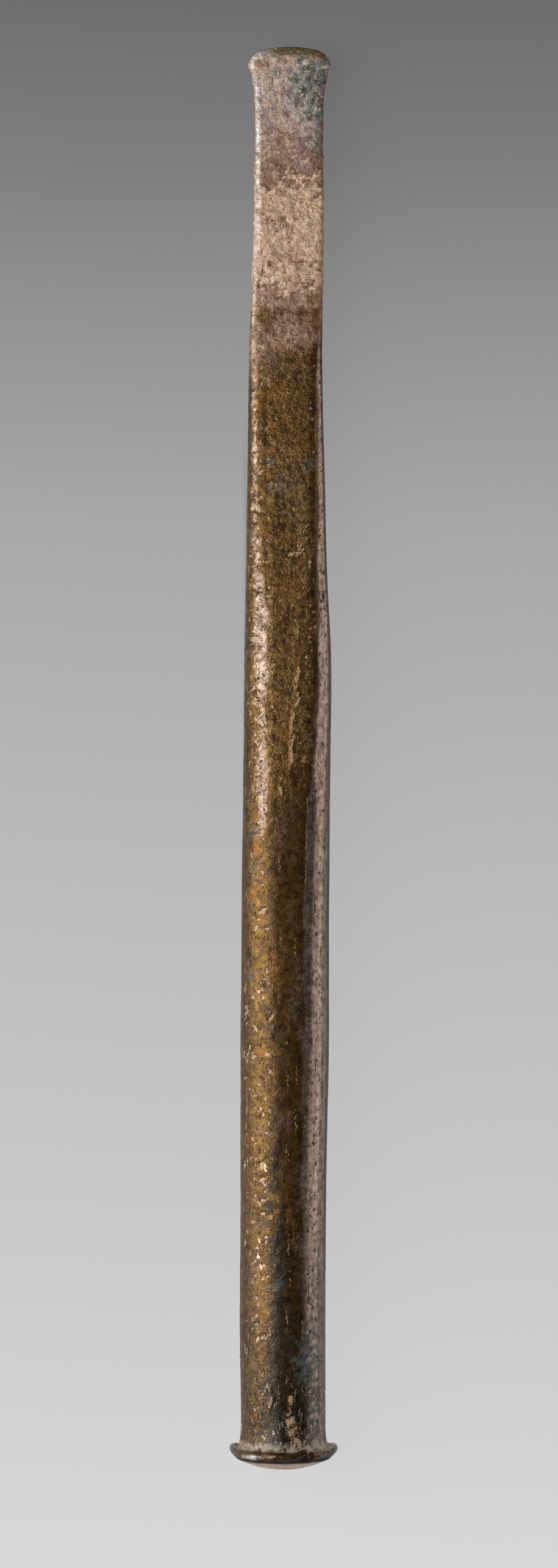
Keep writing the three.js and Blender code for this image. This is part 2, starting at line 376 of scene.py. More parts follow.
# The nicks. Careless and skidding blows cut short dents into the bar, most of them on its left side.
# Each group runs between two distances from the head and between two angles round the bar from its top.
NICKS = [
    {"ends": (68, 86), "angles": (-66, -10), "count": 16, "length": 1.7, "depth": 0.2, "colour": 1.0},
    {"ends": (56, 68), "angles": (-60, -15), "count": 9, "length": 1.4, "depth": 0.16, "colour": 0.8},
    {"ends": (45, 55), "angles": (-46, -20), "count": 17, "length": 1.0, "depth": 0.18, "colour": 0.9},
    {"ends": (22, 44), "angles": (-48, -16), "count": 26, "length": 1.0, "depth": 0.13, "colour": 0.9},
    {"ends": (90, 120), "angles": (-55, -10), "count": 14, "length": 1.2, "depth": 0.12, "colour": 0.6},
    {"ends": (120, 176), "angles": (-60, -26), "count": 60, "length": 1.7, "depth": 0.22, "colour": 0.7},
    {"ends": (140, 196), "angles": (-12, 12), "count": 40, "length": 0.9, "depth": 0.1, "colour": 0.8},
    {"ends": (12, 120), "angles": (30, 70), "count": 26, "length": 0.6, "depth": 0.08, "colour": 0.0},
    {"ends": (120, 200), "angles": (40, 70), "count": 46, "length": 0.8, "depth": 0.12, "colour": 0.0},
    {"ends": (12, 200), "angles": (80, 280), "count": 130, "length": 1.4, "depth": 0.14, "colour": 0.8},
]
NICK_SIZES = (0.6, 1.3)  # smallest and largest, beside the group's
NICK_WIDTHS = (0.35, 0.6)
NICK_SLANTS = (40, 80)  # degrees from the bar's length, to either side
DEEP_NICKS = [  # distance from the head, angle, length, width, depth, slant, how bare its metal is
    (154.2, -30, 2.6, 1.1, 0.4, -60, 1.0),  # a gouge on the left shoulder, and three chips beside it
    (168.5, -30, 2.4, 0.8, 0.3, -40, 1.0),
    (146.5, -32, 3.2, 0.7, 0.3, -62, 1.0),
    (145.2, -32, 3.0, 0.6, 0.25, -58, 1.0),
    (152.7, 50, 1.5, 1.3, 0.35, 0, 0.0),  # a round pit and two notches on the right edge
    (172.0, 55, 1.4, 0.5, 0.3, 60, 0.0),
    (166.5, 55, 1.6, 0.5, 0.3, 60, 0.0),
    (98.0, -24, 1.8, 0.7, 0.25, 55, 1.0),  # two like grains of rice on the shaft
    (95.0, -36, 1.4, 0.6, 0.2, 40, 1.0),
]
DEGREE = 0.13  # how far one degree round the bar is on its skin
DENT_REACH = 1.5  # how far above and below its middle a dent is still felt
DENT_BORDER = (0.4, 1.3)  # full up to this share of the oval, and gone past this one
LIP_BORDER = (0.2, 1.1)
LIP_ASIDE = 1.3  # from the dent's middle, in half widths
LIP_HEIGHT = 0.5  # of the dent's depth

nearest = np.argsort(from_head)
sorted_head = from_head[nearest]
place = read("co") / MM
outward = read("normal")
lift = np.zeros(count)
struck = np.zeros(count)


def strike(along, angle, length, width, depth, slant, colour):
    """Cuts one dent, with a raised lip on one side."""
    near = nearest[slice(*np.searchsorted(sorted_head, (along - length, along + length)))]
    miss = (from_head[near] - along) ** 2 + (DEGREE * (round_bar[near] - angle)) ** 2
    middle = near[np.argmin(miss)]
    normal = outward[middle]
    ahead = np.cross(normal, np.cross((0, 1, 0), normal))
    ahead /= np.linalg.norm(ahead)
    aside = np.cross(ahead, normal)
    turn = math.radians(slant)
    offset = place[near] - place[middle]
    u = offset @ (ahead * math.cos(turn) + aside * math.sin(turn)) / (length / 2)
    v = offset @ (aside * math.cos(turn) - ahead * math.sin(turn)) / (width / 2)
    w = offset @ normal / DENT_REACH
    dent = 1 - ease(np.sqrt(u * u + v * v + w * w), *DENT_BORDER)
    lip = (1 - ease(np.sqrt(u * u + (v - LIP_ASIDE) ** 2 + w * w), *LIP_BORDER)) * LIP_HEIGHT
    lift[near] += depth * (lip - dent)
    struck[near] = np.maximum(struck[near], colour * np.maximum(dent, lip))


chance = np.random.default_rng(7)
for group in NICKS:
    for _ in range(group["count"]):
        size = chance.uniform(*NICK_SIZES)
        strike(
            chance.uniform(*group["ends"]),
            (chance.uniform(*group["angles"]) + 180) % 360 - 180,
            size * group["length"],
            chance.uniform(*NICK_WIDTHS),
            size * group["depth"],
            chance.choice((-1, 1)) * chance.uniform(*NICK_SLANTS),
            group["colour"],
        )
for nick in DEEP_NICKS:
    strike(*nick)
press(outward, lift)

# The seams. Where the casting skin folded under the hammer, thin tan ridges run down the middle. Two long
# scratches and a smear of ridges above the burr show the same tan. Each is a chain of points: how far
# right of the middle, and how far from the head.
SEAMS = [
    ((2.9, 141), (2.4, 139), (2.0, 137), (2.6, 135), (1.9, 133)),
    ((1.8, 132.5), (1.2, 130), (1.7, 128), (1.1, 126.5), (1.5, 124.5), (0.9, 122.5)),
    ((-0.4, 122), (-0.8, 120), (-0.3, 118)),
    ((0.3, 160.3), (1.5, 160.0), (2.6, 160.3), (3.5, 161.1)),
    ((-2.4, 14.5), (-2.2, 12.8), (-2.5, 11.6)),
    ((1.3, 13.4), (1.0, 11.8), (1.5, 10.0), (1.1, 8.8)),
    ((1.9, 9.4), (1.6, 7.6), (2.2, 5.8), (1.8, 4.4)),
    ((0.6, 10.2), (0.9, 8.4), (1.3, 6.6), (1.2, 5.2)),
    ((2.2, 8.4), (2.4, 6.8), (2.7, 5.0)),
]
SEAM_WIDTH = 0.28
SEAM_WIDTH_WANDERS = 0.14
SEAM_BORDER = (0.5, 1.8)  # in its widths: full up to here from its line, and gone past here
SEAM_HEIGHT = 0.16
SEAM_FACES_UP = 0.4
SEAM_FAINTEST = 0.35  # it is broken up by noise between two levels, and never fainter than this
SEAM_BROKEN = (-0.25, 0.2)

place = read("co") / MM
outward = read("normal")
seam = np.zeros(count)
seam_width = SEAM_WIDTH + SEAM_WIDTH_WANDERS * side_noise
for points in SEAMS:
    for (x, y), (next_x, next_y) in zip(points, points[1:]):
        run = np.array((next_x - x, next_y - y))
        offset = np.column_stack((place[:, 0] - x, from_head - y))
        share = np.clip(offset @ run / (run @ run), 0, 1)
        miss = np.hypot(*(offset - share[:, None] * run).T)
        ridge = 1 - ease(miss, SEAM_BORDER[0] * seam_width, SEAM_BORDER[1] * seam_width)
        seam = np.maximum(seam, ridge * (outward[:, 2] > SEAM_FACES_UP))
broken = ease(grain(place, size=1.1, seed=31), *SEAM_BROKEN)
seam *= SEAM_FAINTEST + (1 - SEAM_FAINTEST) * broken
press(outward, SEAM_HEIGHT * seam)

# The crust. Lime and corrosion from the ground cling to the blade in grains, thickest three centimetres
# behind the edge, and thin towards the shaft. The edge was honed to a bevel, and the left corner is worn,
# with a painted highlight along it.
BLADE = (191, 214)  # the crust begins between these
TIP = (226, 234)  # and turns paler and flaky between these
BROAD_DRIFT = 8.0  # how far its borders wander, in broad bays and in narrow tongues
NARROW_DRIFT = 5.0
TIP_DRIFT = 0.5  # the share of it that the tip's border follows, and the heavy stretch's
HEAVY = (203, 214, 224, 229)
HEAVY_DRIFT = 0.6
PATCH_SHARE = 0.55  # what its patches, its grains and the heavy stretch each add to it
GRAIN_SHARE = 0.45
HEAVY_SHARE = 0.62
CRUST_LEVELS = (0.08, 0.56)  # the sum of these at which it starts, and is full
TIP_THINS = 0.5
WEAR_THINS = 0.9
BEVEL = (248.0, 248.7)
BEVEL_CURVE = 0.023  # how much the bevel's border bends towards the head with the square of its distance
CORNER_WEAR_AND_HIGHLIGHT = (0.05, 0.3, 0.6, 1.0)  # from the blade's left side
CORNER_WEAR_AND_HIGHLIGHT_ALONG = (186, 236)
CORNER_FACES_UP = 0.1
SIDE_ROWS = 2  # rows in a millimetre, each with its own left side
LUMP_AT = (3.2, 218.7)  # right of the middle, and from the head
LUMP_SIZE = (0.45, 0.85)
LUMP_BORDER = (0.4, 1.1)
LUMP_HEIGHT = 0.35
FLAKE_LEVELS = (0.05, 0.4)
FLAKES_ACROSS = (-3.5, 0.5)  # left of the axis: where they start and are full
FLAKES_WANDER = 2.0
FLAKE_HEIGHT = 0.12
CRUST_HEIGHT = 0.08
CRUST_GRAIN = 0.22
BLADE_LUMPS = 0.17
UPPER_FACE = (-0.2, 0.4)  # how far up the skin faces there
STREAKS = np.array(((0.95, -0.31, 0), (0.31, 0.95, 0), (0, 0, 1)))  # turns a pattern 18 degrees

place = read("co") / MM
outward = read("normal")
facing = ease(outward[:, 2], *UPPER_FACE)
streaked = place @ STREAKS
drift = BROAD_DRIFT * grain(place, size=6.0, seed=5, octaves=2)
drift += NARROW_DRIFT * grain(streaked, size=1.3, seed=12, octaves=3, stretch=(1.3, 1.3, 1))
blade = ease(from_head + drift, *BLADE)
tip = ease(from_head + TIP_DRIFT * drift, *TIP)
edge_bevel = ease(from_head + BEVEL_CURVE * off_axis**2, *BEVEL)
patch = grain(streaked, size=2.0, seed=6, octaves=3, stretch=(2.4, 1, 1))
fine = grain(streaked, size=0.75, seed=7, octaves=2, stretch=(1.6, 1, 1))
heavy = stretch_of(from_head + HEAVY_DRIFT * drift, *HEAVY)
crust = ease(PATCH_SHARE * patch + GRAIN_SHARE * fine + HEAVY_SHARE * heavy, *CRUST_LEVELS)
crust *= blade * (1 - edge_bevel) * (1 - TIP_THINS * tip * facing)
rows = np.round(from_head * SIDE_ROWS).astype(int)
leftmost = np.full(rows.max() + 1, np.inf)
np.minimum.at(leftmost, rows, place[:, 0])
corner_wear_and_highlight = stretch_of(place[:, 0] - leftmost[rows], *CORNER_WEAR_AND_HIGHLIGHT)
corner_wear_and_highlight *= (outward[:, 2] > CORNER_FACES_UP) * ease(from_head, *CORNER_WEAR_AND_HIGHLIGHT_ALONG)
crust *= 1 - WEAR_THINS * corner_wear_and_highlight
flakes = ease(grain(streaked, size=0.8, seed=9, octaves=3, stretch=(2.6, 0.9, 1)), *FLAKE_LEVELS)
flakes *= facing * ease(-off_axis + FLAKES_WANDER * side_noise, *FLAKES_ACROSS)
flakes *= tip * (1 - edge_bevel) * (1 - corner_wear_and_highlight)
lump_aside = (off_axis - LUMP_AT[0]) / LUMP_SIZE[0]
lump_along = (from_head - LUMP_AT[1]) / LUMP_SIZE[1]
one_lump = (1 - ease(np.hypot(lump_aside, lump_along), *LUMP_BORDER)) * facing
lumps = grain(streaked, size=1.1, seed=8, octaves=3, stretch=(1.5, 1, 1))
raised = LUMP_HEIGHT * one_lump + FLAKE_HEIGHT * flakes + crust * (CRUST_HEIGHT + CRUST_GRAIN * fine)
raised += BLADE_LUMPS * blade * (1 - edge_bevel) * (1 - corner_wear_and_highlight) * lumps
press(outward, raised)

# The burr. Mallet blows rolled the rim outwards unevenly. It has split at the upper right, where one
# flap stands clear of the next, and its two sides curl up towards the shaft. Places round the rim are
# given in degrees, 0 at the top and 90 at the right.
RIM_RADII = (8.0, 9.2)
RIM_END = 6
CURL = (55, 92)
CURL_END = (100, 130)
CURL_REACH = 0.55  # towards the shaft
FLAP_END = (12, 24, 27, 29.5)
FLAP_REACH = 0.7
SPLIT = (27.5, 29, 31.5, 33.5)
SPLIT_DEPTH = 0.35
SPLIT_REACH = 0.5  # away from the shaft
SLOT = (38, 41, 49, 52)
SLOT_ALONG = (1.2, 1.9, 2.3, 3.0)
SLOT_DEPTH = 0.3
ROLLED = 0.12
ROLL_LENGTH = 9  # degrees

place = read("co") / MM
centre_z = high.z / MM / 2
from_centre = np.column_stack((place[:, 0] - HEAD_AXIS, np.zeros(count), place[:, 2] - centre_z))
clock = np.degrees(np.arctan2(from_centre[:, 0], from_centre[:, 2]))
radius = np.hypot(from_centre[:, 0], from_centre[:, 2])
rim = ease(radius, *RIM_RADII) * (from_head < RIM_END)
curl = ease(np.abs(clock), *CURL) * (1 - ease(np.abs(clock), *CURL_END))
flap_end = stretch_of(clock, *FLAP_END)
split = stretch_of(clock, *SPLIT)
slot = stretch_of(clock, *SLOT) * stretch_of(from_head, *SLOT_ALONG)
round_rim = np.column_stack((clock / ROLL_LENGTH, from_head, radius))
rolled = ROLLED * grain(round_rim, size=1.0, seed=14, octaves=2)
cut_in = SPLIT_DEPTH * split + SLOT_DEPTH * slot + np.abs(rolled)
press(from_centre / radius[:, None], -rim * cut_in)
towards_shaft = CURL_REACH * curl + FLAP_REACH * flap_end - SPLIT_REACH * split + rolled
press(np.array((0, 1, 0)), rim * towards_shaft)

# Stains that the ground left, each an oval blot: how far right of the middle, how far from the head,
# half its width, half its length, and how strong. Every mark is kept on the skin under its name, from
# 0 to 1, and the finish reads it there.
STAINS = {
    "verdigris": [
        (3.8, 244.3, 4.6, 3.3, 1.0),
        (4.4, 239.5, 3.0, 2.7, 0.9),
        (5.0, 234, 1.4, 3.4, 0.7),
        (1.6, 241.0, 2.2, 2.4, 0.7),
        (-2.7, 176.4, 1.9, 0.7, 0.4),
        (4.4, 176.2, 1.3, 0.7, 0.4),
        (3.8, 20, 2.0, 4.2, 0.55),
        (-0.8, 33, 1.1, 1.2, 0.35),
        (-6.5, 164, 0.6, 1.0, 0.4),
    ],
    "soot": [
        (3.2, 11, 3.2, 10.0, 0.9),
        (2.2, 27, 2.2, 9.0, 0.6),
        (6.2, 21, 1.8, 17.0, 0.5),
        (-1.0, 24, 2.4, 30.0, 0.8),
        (-4.4, 22, 2.4, 24.0, 0.3),
        (-0.6, 8, 3.4, 8.5, 0.9),
    ],
    "umber": [
        (-3.5, 233.5, 2.8, 3.2, 0.8),
        (3.0, 231.5, 3.0, 2.6, 0.9),
        (-2.5, 238, 2.6, 1.6, 0.5),
        (4.8, 230.5, 1.8, 3.4, 1),
        (-2.7, 229, 1.8, 2.2, 1),
        (5.9, 240, 0.9, 9.0, 0.8),
        (1.5, 233, 1.2, 2.0, 0.8),
        (-1.0, 226.5, 4.5, 1.4, 0.8),
        (5.2, 220, 1.9, 9.0, 0.7),
    ],
    "ochre": [
        (-0.2, 47.7, 1.9, 0.6, 1),
        (-1.2, 45, 0.5, 2.0, 1),
        (1.2, 45, 0.5, 2.0, 1),
        (-3.4, 31, 1.7, 8.0, 0.8),
        (-5.6, 102, 0.8, 0.9, 1),
        (-2.2, 25, 0.5, 1.0, 1),
        (-1.5, 88, 1.4, 4.0, 0.8),
    ],
    "mauve": [
        (-1.0, 111, 1.1, 2.8, 1),
        (1.0, 61.5, 1.1, 1.6, 1),
        (3.0, 50, 1.2, 5.0, 1),
        (3.4, 38, 1.3, 6.0, 1),
        (2.2, 84, 1.2, 5.0, 1),
        (3.6, 76, 1.0, 3.0, 1),
        (0.3, 172, 2.6, 5.0, 0.6),
        (-3.5, 196, 2.0, 4.0, 1),
    ],
    "lime": [
        (2.4, 163, 0.9, 2.4, 0.6),
        (1.7, 7, 1.0, 3.8, 0.6),
        (-2.2, 243.3, 2.6, 0.8, 1),
        (-1.6, 236.5, 1.8, 1.3, 1),
        (-3.4, 232.5, 1.5, 1.3, 1),
        (2.6, 245.2, 3.2, 1.3, 0.9),
        (-3.8, 245.6, 1.3, 1.3, 0.8),
        (5.0, 241.5, 1.4, 1.2, 1),
        (3.2, 218.7, 0.5, 0.9, 1),
    ],
}
BLOT_BORDER = (0.55, 1.25)  # full up to this share of the oval, and gone past this one
RAGGED = 0.9
kept = []


def keep(name, values):
    bronze.data.attributes.new(name, "FLOAT", "POINT").data.foreach_set("value", values)
    kept.append(name)


place = read("co") / MM
ragged = RAGGED * grain(place @ STREAKS, size=0.9, seed=41, octaves=3, stretch=(1.8, 1, 1))
for stain, blots in STAINS.items():
    share = np.zeros(count)
    for across, along, half_width, half_length, strongest in blots:
        miss = np.hypot((off_axis - across) / half_width, (from_head - along) / half_length)
        share = np.maximum(share, strongest * (1 - ease(miss + ragged, *BLOT_BORDER)))
    keep(stain, share * top_side)
    if stain == "verdigris":
        keep("specked", share * top_side * tip)

# What the hammer, the hone and the hand left, kept in the same way: bare metal on the honed edge, with
# a painted highlight on its left and along the blade's worn left corner, a painted highlight on the
# burr's left shoulder and grime in its corner, painted shade in the crease beside the planished side,
# and painted shade on the flanks.
CORNER_DIRT = (3.2, 3.8, 4.6, 5.6)
CREASE_SHADE = (-0.9, -0.4, -0.1, 0.25)  # right of the planished side's border
CREASE_SHADE_ALONG = (108, 126, 166, 184)
LEFT_TOP = (-78, -66, -14, -4)  # degrees round the bar
NICKED_SHAFT = (18, 24, 86, 92)
NICKED_SHOULDER = (92, 110, 180, 196)
NICKED_SHOULDER_MOST = 0.5
NICKED_PATCHES = (-0.35, 0.1)
GRITTY = (114, 126, 186, 200)
GRITTY_MOST = 0.8
GRITTY_ACROSS = (-3.5, -2.5, 4, 5)
HONED_HIGHLIGHT = (2.0, 5.0)  # left of the axis
RIM_HIGHLIGHT = (-56, -47, -29, -18)  # degrees round the rim
RIM_HIGHLIGHT_ALONG = (1.5, 2.1, 3.0, 3.6)
RIM_HIGHLIGHT_MOST = 0.85
HEAD_END = 5
FACES_HEADWARDS = (0.1, 0.4)
BORDER_WANDERS = 0.2
FACE_BORDER = (7.8, 8.2)
SHADED_LIP_RADII = (7.7, 8.2, 9.0, 9.5)
BRUSHED = (3.8, 5, 12, 20)
LEFT_FLANK_SHADE = (44, 66)  # degrees round the bar, to the left
LEFT_FLANK_SHADE_END = (126, 150)
LEFT_FLANK_SHADE_MOST = 0.7
RIGHT_FLANK_SHADE = (63, 72)  # and to the right
RIGHT_FLANK_SHADE_MOST = 0.9

keep("planished", planished)
keep("struck", struck)
keep("seam", seam)
keep("crust", crust)
keep("flakes", flakes)
keep("blade", blade)
keep("tip", tip)
keep("scored", on_bar * (1 - blade))
keep("facet", left_facet * (0.8 + 0.8 * ripples))
corner = stretch_of(from_head, *CORNER_DIRT) * (1 - rim)
keep("corner", corner * (0.6 + 0.4 * grain(place, size=1.4, seed=42, octaves=2)))
# Painted shade: a dark line along the crease beside the planished side's border.
shaded_crease = stretch_of(past_border, *CREASE_SHADE) * stretch_of(from_head, *CREASE_SHADE_ALONG)
keep("shaded_crease", shaded_crease * (0.7 + 0.6 * side_noise))
busy = stretch_of(from_head, *NICKED_SHAFT)
busy += NICKED_SHOULDER_MOST * stretch_of(from_head, *NICKED_SHOULDER)
busy = ease(busy, 0, 1) * ease(grain(place, size=5.0, seed=61), *NICKED_PATCHES)
keep("nicked", stretch_of(round_bar, *LEFT_TOP) * busy)
keep("gritty", GRITTY_MOST * stretch_of(from_head, *GRITTY) * stretch_of(off_axis, *GRITTY_ACROSS))
# Painted highlights: a pale line on the left of the honed bevel, along the blade's worn left corner, and
# on the burr's left shoulder.
honed_highlight = edge_bevel * ease(-off_axis + side_noise, *HONED_HIGHLIGHT)
rim_highlight = RIM_HIGHLIGHT_MOST * rim * stretch_of(clock, *RIM_HIGHLIGHT) * stretch_of(from_head, *RIM_HIGHLIGHT_ALONG)
highlit_worn_corner = corner_wear_and_highlight * (0.9 + 0.5 * grain(place, size=1.6, seed=51, octaves=2))
keep("worn_and_highlit", np.maximum.reduce((highlit_worn_corner, honed_highlight, rim_highlight)))
keep("bevel", edge_bevel)
keep("rim", rim * (1 - rim_highlight))
head_on = ease(-outward[:, 1], *FACES_HEADWARDS) * (from_head < HEAD_END)
keep("face", (1 - ease(radius - BORDER_WANDERS * side_noise, *FACE_BORDER)) * head_on)
# Painted shade: a near black band where the rolled burr turns under, round the struck face.
keep("lip", stretch_of(radius + BORDER_WANDERS * side_noise, *SHADED_LIP_RADII) * head_on)
# Brushing striae near the head; their pale streaks are painted glints.
keep("brushed_with_glints", stretch_of(from_head, *BRUSHED) * top_side)
# Painted shade: the flanks, where the skin turns far from the top, are darkened, on the left only along
# the shaft.
shaded_flanks = LEFT_FLANK_SHADE_MOST * ease(-round_bar, *LEFT_FLANK_SHADE) * (1 - ease(from_head, *LEFT_FLANK_SHADE_END))
shaded_flanks += RIGHT_FLANK_SHADE_MOST * ease(round_bar, *RIGHT_FLANK_SHADE)
keep("shaded_flanks", shaded_flanks * top_side * (1 - blade))

# Its finish: bronze under a thin brown patina, waxed. The patina is worn towards the metal on the left,
# dark and glassy on the right, and stained mauve, tan and green on the blade.
SPECKLES = {  # size in millimetres across and along the bar, detail, roughness
    "cloud": (9.0, 9.0, 3, 0.5),
    "blotch": (2.6, 2.6, 4, 0.6),
    "mottle": (1.1, 1.1, 4, 0.62),
    "dust": (0.3, 0.3, 3, 0.65),  # drawn coarser than the real grain of about 0.1, which wouldn't show
    "crumb": (0.7, 0.55, 3, 0.65),
    "stain": (3.4, 3.4, 4, 0.6),
    "spot": (1.9, 1.9, 3, 0.55),
    "striae": (0.22, 3.0, 2, 0.5),  # drawn coarser than the real rubbing lines of about 0.05
}
SPECKLE_SHIFT = 3.7  # sets each speckle apart from the one before it
MIXERS = ("mottle", "dust", "striae")  # the speckles that mix the two tones of a coat
MIXED_BETWEEN = (0.36, 0.64)

patina = bpy.data.materials.new("waxed bronze patina")
patina.use_nodes = True
patina.node_tree.nodes.clear()
spot = add(patina, "ShaderNodeTexCoord").outputs["Object"]
axes = add(patina, "ShaderNodeSeparateXYZ", {"Vector": spot}).outputs
masks = {
    name: add(patina, "ShaderNodeAttribute", attribute_name=name).outputs["Fac"] for name in kept
}
speckles = {}
for number, (name, (width, length, detail, noise_roughness)) in enumerate(SPECKLES.items()):
    scaled = add(
        patina,
        "ShaderNodeMapping",
        {"Vector": spot, "Scale": (1 / (width * MM), 1 / (length * MM), 1 / (width * MM))},
    ).outputs["Vector"]
    speckles[name] = add(
        patina,
        "ShaderNodeTexNoise",
        {
            "Vector": scaled,
            "W": SPECKLE_SHIFT * number,
            "Scale": 1.0,
            "Detail": detail,
            "Roughness": noise_roughness,
        },
        noise_dimensions="4D",
    ).outputs["Fac"]
tone_mix = {}
for name in MIXERS:
    tone_mix[name] = add(
        patina,
        "ShaderNodeMapRange",
        {"Value": speckles[name], "From Min": MIXED_BETWEEN[0], "From Max": MIXED_BETWEEN[1]},
    ).outputs["Result"]

# The dark side starts at the middle of the shaft, wanders, and leaves the blade free. Its border runs
# to the right between two places along the bar, from one place across it to another.
DARK_BORDER_ALONG = (-20 * MM, 50 * MM)
DARK_BORDER_ACROSS = (-0.3 * MM, 10 * MM)
DARK_FADES = (-4.5 * MM, 1.5 * MM)
WANDERS = [("cloud", 7 * MM), ("blotch", 3 * MM)]

across = axes["X"]
for name, reach in WANDERS:
    wander = add(patina, "ShaderNodeMath", {0: speckles[name], 1: -0.5}, operation="ADD").outputs[0]
    across = add(
        patina, "ShaderNodeMath", {0: wander, 1: reach, 2: across}, operation="MULTIPLY_ADD"
    ).outputs[0]
border = add(
    patina,
    "ShaderNodeMapRange",
    {
        "Value": axes["Y"],
        "From Min": DARK_BORDER_ALONG[0],
        "From Max": DARK_BORDER_ALONG[1],
        "To Min": DARK_BORDER_ACROSS[0],
        "To Max": DARK_BORDER_ACROSS[1],
    },
).outputs["Result"]
past_dark = add(patina, "ShaderNodeMath", {0: across, 1: border}, operation="SUBTRACT").outputs[0]
masks["dark"] = add(
    patina,
    "ShaderNodeMapRange",
    {"Value": past_dark, "From Min": DARK_FADES[0], "From Max": DARK_FADES[1]},
    interpolation_type="SMOOTHSTEP",
).outputs["Result"]

# The patina grew in coats over golden brown bronze, and each lies over the ones before it: where (a mask,
# or all over), the speckle that breaks it up with the levels it starts and is full at and its share
# there, its two tones with the speckle that mixes them, roughness and metal.
BRONZE_TONES = ("#3f2b12", "#78592a")
BRONZE_ROUGHNESS = 0.2
BRONZE_METAL = 0.8
COATS = [
    (None, ("dust", 0.5, 0.62, 0.45), ("#2e1e0c", "#463114"), "mottle", 0.4, 0.4),
    (None, ("blotch", 0.53, 0.68, 0.7), ("#6b3f16", "#8f5b20"), "dust", 0.26, 0.75),
    (None, ("stain", 0.57, 0.7, 0.6), ("#5c4a40", "#6f5a50"), "dust", 0.35, 0.2),
    ("dark", None, ("#33220b", "#614218"), "mottle", 0.22, 0.55),
    ("dark", ("spot", 0.56, 0.64, 0.4), ("#52402f", "#6f5a4c"), "dust", 0.3, 0.2),
    ("planished", ("striae", 0.3, 0.48, 1.0), ("#6e5b50", "#a8968a"), "mottle", 0.15, 0.75),
    # painted shade in the crease
    ("shaded_crease", None, ("#1f150b", "#38260f"), "mottle", 0.35, 0.4),
    # painted shade on the flanks
    ("shaded_flanks", None, ("#3a260d", "#5c3f1a"), "mottle", 0.55, 0.6),
    ("soot", None, ("#14110a", "#2e2a1c"), "mottle", 0.2, 0.3),
    ("gritty", ("mottle", 0.42, 0.6, 0.5), ("#5e421c", "#86622e"), "dust", 0.3, 0.5),
    ("facet", None, ("#553e26", "#b8a08e"), "mottle", 0.17, 0.55),
    ("ochre", ("dust", 0.42, 0.58, 0.6), ("#85591f", "#a87a35"), "mottle", 0.3, 0.6),
    ("mauve", ("dust", 0.42, 0.58, 0.55), ("#5f4c42", "#82706a"), "mottle", 0.3, 0.1),
    ("struck", None, ("#84654e", "#bda28e"), "dust", 0.3, 0.45),
    ("seam", None, ("#8f6c48", "#bd9a72"), "dust", 0.6, 0.1),
    ("blade", None, ("#78523b", "#dab496"), "mottle", 0.5, 0.0),
    ("blade", ("blotch", 0.5, 0.66, 0.6), ("#a07b5c", "#d0aa88"), "dust", 0.55, 0.0),
    ("blade", ("dust", 0.53, 0.6, 0.65), ("#402b1f", "#5e4636"), "mottle", 0.5, 0.0),
    ("blade", ("stain", 0.52, 0.62, 0.6), ("#633c2c", "#936352"), "dust", 0.5, 0.0),
    ("tip", ("stain", 0.38, 0.58, 0.75), ("#9b8a83", "#d8c9c4"), "mottle", 0.5, 0.0),
    ("umber", ("mottle", 0.36, 0.54, 0.85), ("#5a3428", "#945f50"), "dust", 0.6, 0.0),
    ("crust", None, ("#bf967a", "#fbd9ba"), "mottle", 0.85, 0.0),
    ("crust", ("blotch", 0.5, 0.64, 0.45), ("#96705a", "#c09a80"), "mottle", 0.85, 0.0),
    ("crust", ("dust", 0.55, 0.64, 0.45), ("#6d5040", "#8e6d58"), "mottle", 0.85, 0.0),
    ("flakes", None, ("#a8866c", "#e0c2a8"), "dust", 0.8, 0.0),
    ("verdigris", ("dust", 0.34, 0.46, 0.95), ("#18282b", "#667f7d"), "mottle", 0.5, 0.0),
    ("lime", ("dust", 0.51, 0.59, 0.85), ("#b08e72", "#ecd4bc"), "mottle", 0.9, 0.0),
    ("bevel", None, ("#6e5a38", "#b09a70"), "striae", 0.3, 0.4),
    # wear and painted highlights on the honed edge, the blade's left corner and the burr's left shoulder
    ("worn_and_highlit", ("mottle", 0.3, 0.48, 1.0), ("#c4b4a8", "#fff2e8"), "mottle", 0.25, 0.3),
    ("rim", None, ("#332113", "#6b4f36"), "mottle", 0.12, 0.6),
    ("face", None, ("#a07a60", "#e8c8ae"), "mottle", 0.45, 0.4),
    # painted shade under the burr's roll
    ("lip", None, ("#080503", "#150d07"), "mottle", 0.8, 0.0),
    ("corner", ("mottle", 0.34, 0.52, 0.95), ("#857562", "#dccab2"), "dust", 0.6, 0.0),
]
CRISP = ("struck", "seam", "crust", "flakes")  # these break off in crumbs at their borders
CRUMBLE = 0.9  # how much of the dust is added to their share, which then shows between two levels
CRUMBLED_BETWEEN = (0.8, 1.02)

